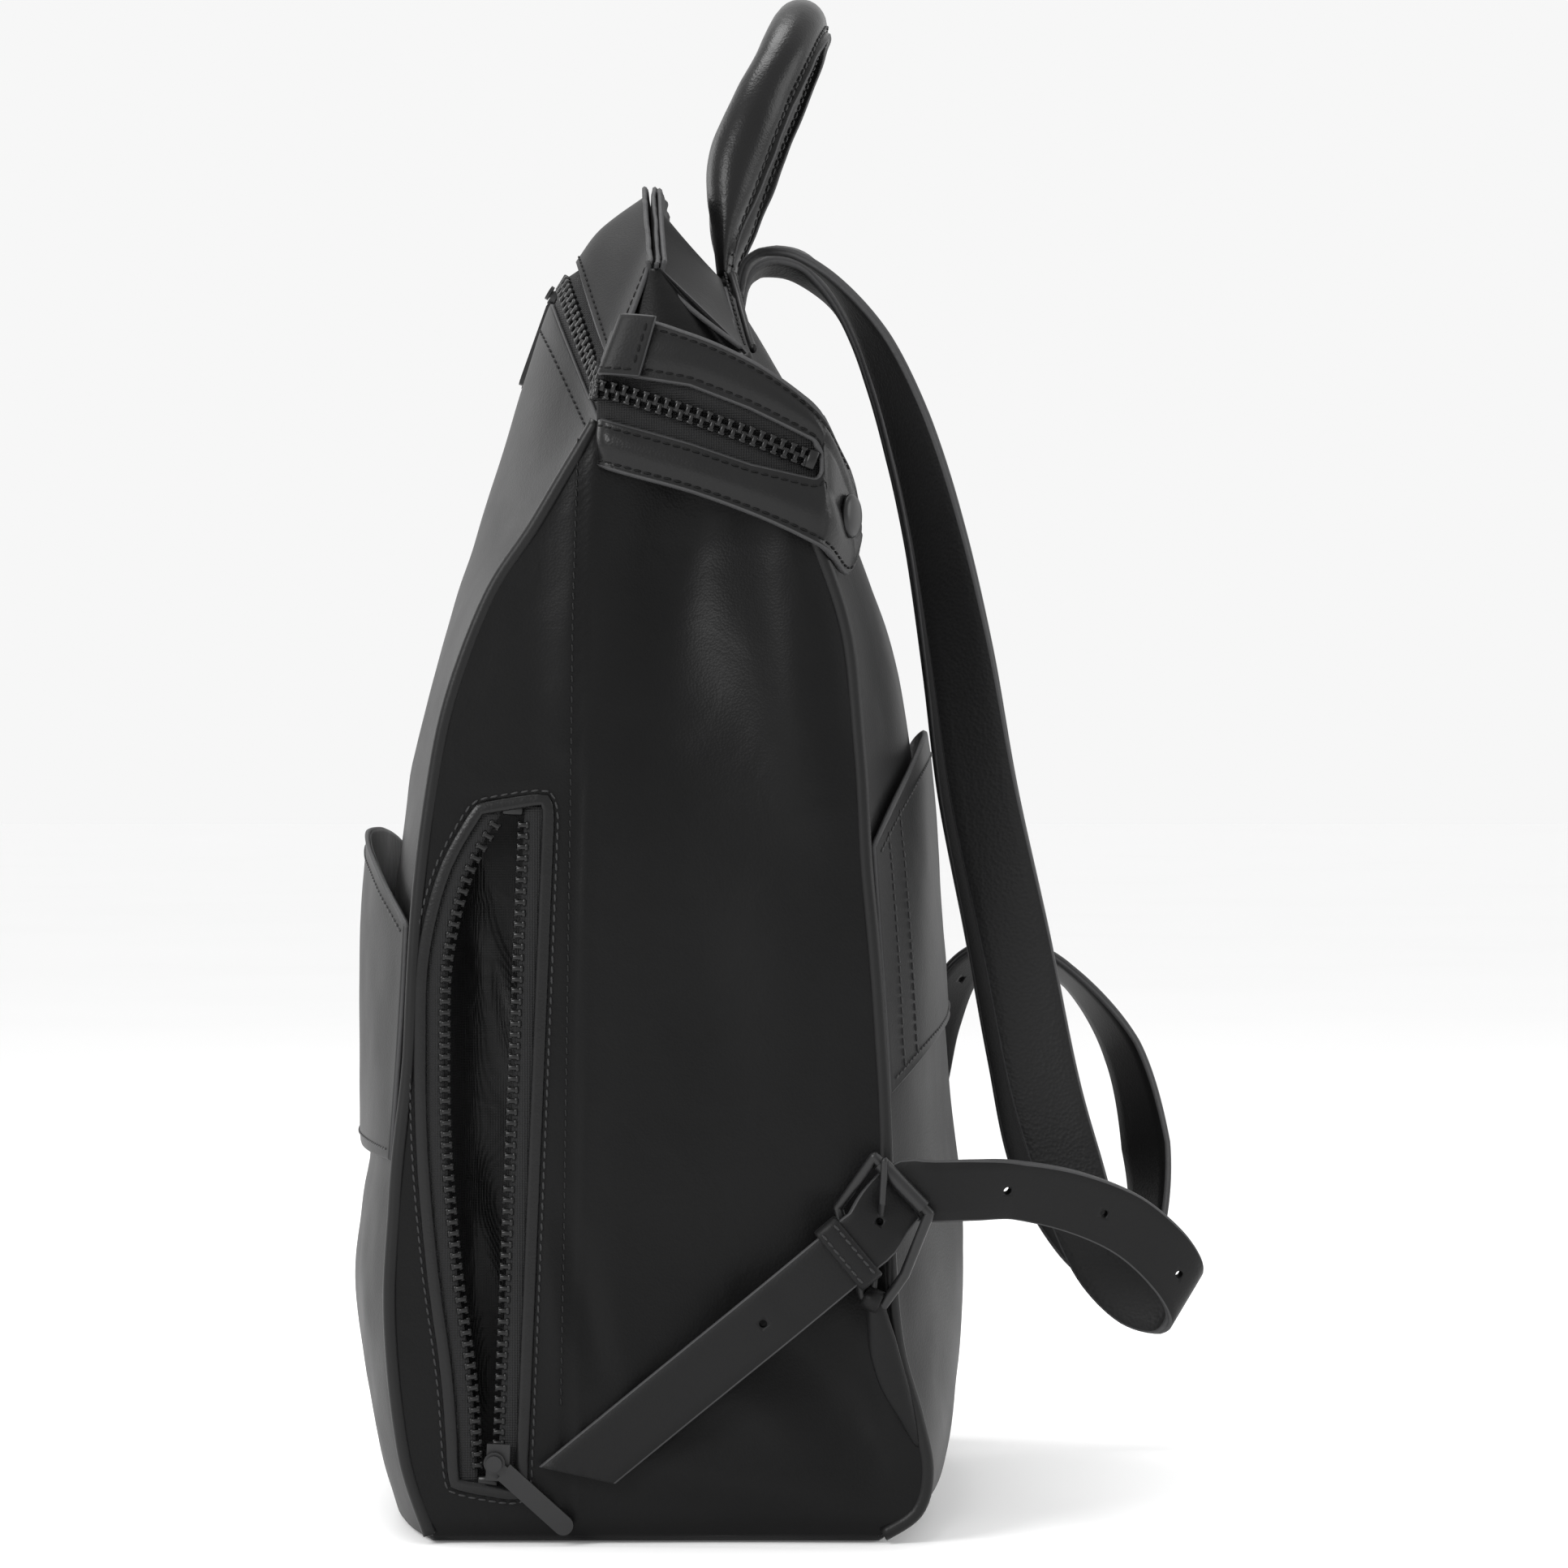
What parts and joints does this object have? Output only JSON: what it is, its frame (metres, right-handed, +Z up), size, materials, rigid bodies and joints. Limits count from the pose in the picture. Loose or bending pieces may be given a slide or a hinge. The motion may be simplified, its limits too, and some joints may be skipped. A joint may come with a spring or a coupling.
{
  "type": "backpack",
  "caption": "Upright leather backpack with a zipped fold-over top, side wings that snap to the back, a rolled grab handle and buckled shoulder straps.",
  "frame": {"origin": "centre of the base's underside, where the backpack stands", "axes": "+X along the width towards the wearer's right, +Y towards the wearer's back (strap side), +Z up along the height"},
  "size_m": [0.3064, 0.2704, 0.4828],
  "materials": {
    "leather": "smooth black leather with a soft sheen",
    "piping_leather": "rolled black leather edge",
    "strap_leather": "smooth black strap leather, raw suede-like inner side",
    "zip_plastic": "moulded black zip teeth",
    "zip_tape": "woven black tape",
    "black_metal": "matt black coated metal",
    "lining_fabric": "plain black lining cloth",
    "foam": "grey padding foam",
    "board": "stiff base board"
  },
  "bodies": {
    "bag": {"back_foam": "foam", "back_panel": "leather", "back_yoke": "leather", "base_board": "board", "base_panel": "leather", "buckle_frame_left": "black_metal", "buckle_frame_right": "black_metal", "buckle_prong_left": "black_metal", "buckle_prong_right": "black_metal", "front_panel": "leather", "front_pocket": "leather", "gores": "leather", "gusset_left": "leather", "gusset_right": "leather", "lining": "lining_fabric", "luggage_sleeve": "leather", "mouth_tape_front": "zip_tape", "mouth_teeth_front": "zip_plastic", "piping_back": "piping_leather", "piping_front": "piping_leather", "ridge_edge": "leather", "side_pocket_bag": "lining_fabric", "side_zip_stops": "zip_plastic", "side_zip_tapes": "zip_tape", "side_zip_teeth": "zip_plastic", "side_zip_welt": "leather", "snap_stud_left": "black_metal", "snap_stud_right": "black_metal", "strap_anchor_left": "strap_leather", "strap_anchor_right": "strap_leather", "strap_tail_left": "strap_leather", "strap_tail_right": "strap_leather", "yoke_seam": "leather"},
    "lid": {"lid_flap": "leather", "mouth_tape_lid": "zip_tape", "mouth_teeth_lid": "zip_plastic"},
    "mouth_slider_r": {"mouth_slider_right": "black_metal"},
    "mouth_slider_l": {"mouth_slider_left": "black_metal"},
    "mouth_puller_r": {"mouth_puller_right": "black_metal"},
    "mouth_puller_l": {"mouth_puller_left": "black_metal"},
    "side_slider": {"side_slider": "black_metal"},
    "side_puller": {"side_puller": "black_metal"},
    "wing_r": {"wing_right": "leather", "wing_tape_right": "zip_tape", "wing_teeth_right": "zip_plastic", "snap_cap_right": "black_metal", "snap_socket_right": "black_metal"},
    "wing_l": {"wing_left": "leather", "wing_tape_left": "zip_tape", "wing_teeth_left": "zip_plastic", "snap_cap_left": "black_metal", "snap_socket_left": "black_metal"},
    "handle": {"handle_grip": "leather", "handle_core": "foam"},
    "strap_r": {"shoulder_strap_right": "strap_leather"},
    "strap_l": {"shoulder_strap_left": "strap_leather"},
    "roller_r": {"buckle_roller_right": "black_metal"},
    "roller_l": {"buckle_roller_left": "black_metal"},
    "keeper_r": {"strap_keeper_right": "strap_leather"},
    "keeper_l": {"strap_keeper_left": "strap_leather"}
  },
  "joints": [
    {"name": "lid_hinge", "type": "hinge", "parent": "bag", "child": "lid", "pos_m": [0, -0.013, 0.4112], "axis": [-1, 0, 0], "range_deg": [0, 105]},
    {"name": "mouth_slider_r_slide", "type": "slide", "parent": "bag", "child": "mouth_slider_r", "axis": [1, 0, 0], "range_m": [0, 0.048]},
    {"name": "mouth_slider_l_slide", "type": "slide", "parent": "bag", "child": "mouth_slider_l", "axis": [-1, 0, 0], "range_m": [0, 0.048]},
    {"name": "mouth_puller_r_swing", "type": "hinge", "parent": "mouth_slider_r", "child": "mouth_puller_r", "pos_m": [0.009, -0.04055, 0.38493], "axis": [0, -0.8517, 0.5241], "range_deg": [-18, 50]},
    {"name": "mouth_puller_l_swing", "type": "hinge", "parent": "mouth_slider_l", "child": "mouth_puller_l", "pos_m": [-0.009, -0.04055, 0.38493], "axis": [0, -0.8517, 0.5241], "range_deg": [-50, 18]},
    {"name": "side_slider_slide", "type": "slide", "parent": "bag", "child": "side_slider", "axis": [0, 0.0402, 0.9992], "range_m": [0, 0.187]},
    {"name": "side_puller_swing", "type": "hinge", "parent": "side_slider", "child": "side_puller", "pos_m": [0.14075, -0.05482, 0.0245], "axis": [1, 0, 0], "range_deg": [-8, 18]},
    {"name": "wing_r_swing", "type": "hinge", "parent": "bag", "child": "wing_r", "pos_m": [0.142, -0.0246, 0.335], "axis": [0, 0, -1], "range_deg": [0, 75]},
    {"name": "wing_l_swing", "type": "hinge", "parent": "bag", "child": "wing_l", "pos_m": [-0.142, -0.0246, 0.335], "axis": [0, 0, 1], "range_deg": [0, 75]},
    {"name": "handle_fold", "type": "hinge", "parent": "bag", "child": "handle", "pos_m": [0, 0.0128, 0.3914], "axis": [1, 0, 0], "range_deg": [-35, 25]},
    {"name": "strap_r_swing", "type": "hinge", "parent": "bag", "child": "strap_r", "pos_m": [0.025, 0.019, 0.3925], "axis": [0.3729, 0.1779, -0.9107], "range_deg": [-10, 12]},
    {"name": "strap_l_swing", "type": "hinge", "parent": "bag", "child": "strap_l", "pos_m": [-0.025, 0.019, 0.3925], "axis": [0.3729, -0.1779, 0.9107], "range_deg": [-10, 12]},
    {"name": "roller_r_spin", "type": "hinge", "parent": "bag", "child": "roller_r", "pos_m": [0.1474, 0.0672, 0.1081], "axis": [0, 0.6985, -0.7156], "continuous": true},
    {"name": "roller_l_spin", "type": "hinge", "parent": "bag", "child": "roller_l", "pos_m": [-0.1474, 0.0672, 0.1081], "axis": [0, -0.6985, 0.7156], "continuous": true},
    {"name": "keeper_r_slide", "type": "slide", "parent": "bag", "child": "keeper_r", "axis": [0, -0.77, -0.638], "range_m": [0, 0.02]},
    {"name": "keeper_l_slide", "type": "slide", "parent": "bag", "child": "keeper_l", "axis": [0, -0.77, -0.638], "range_m": [0, 0.02]}
  ]
}
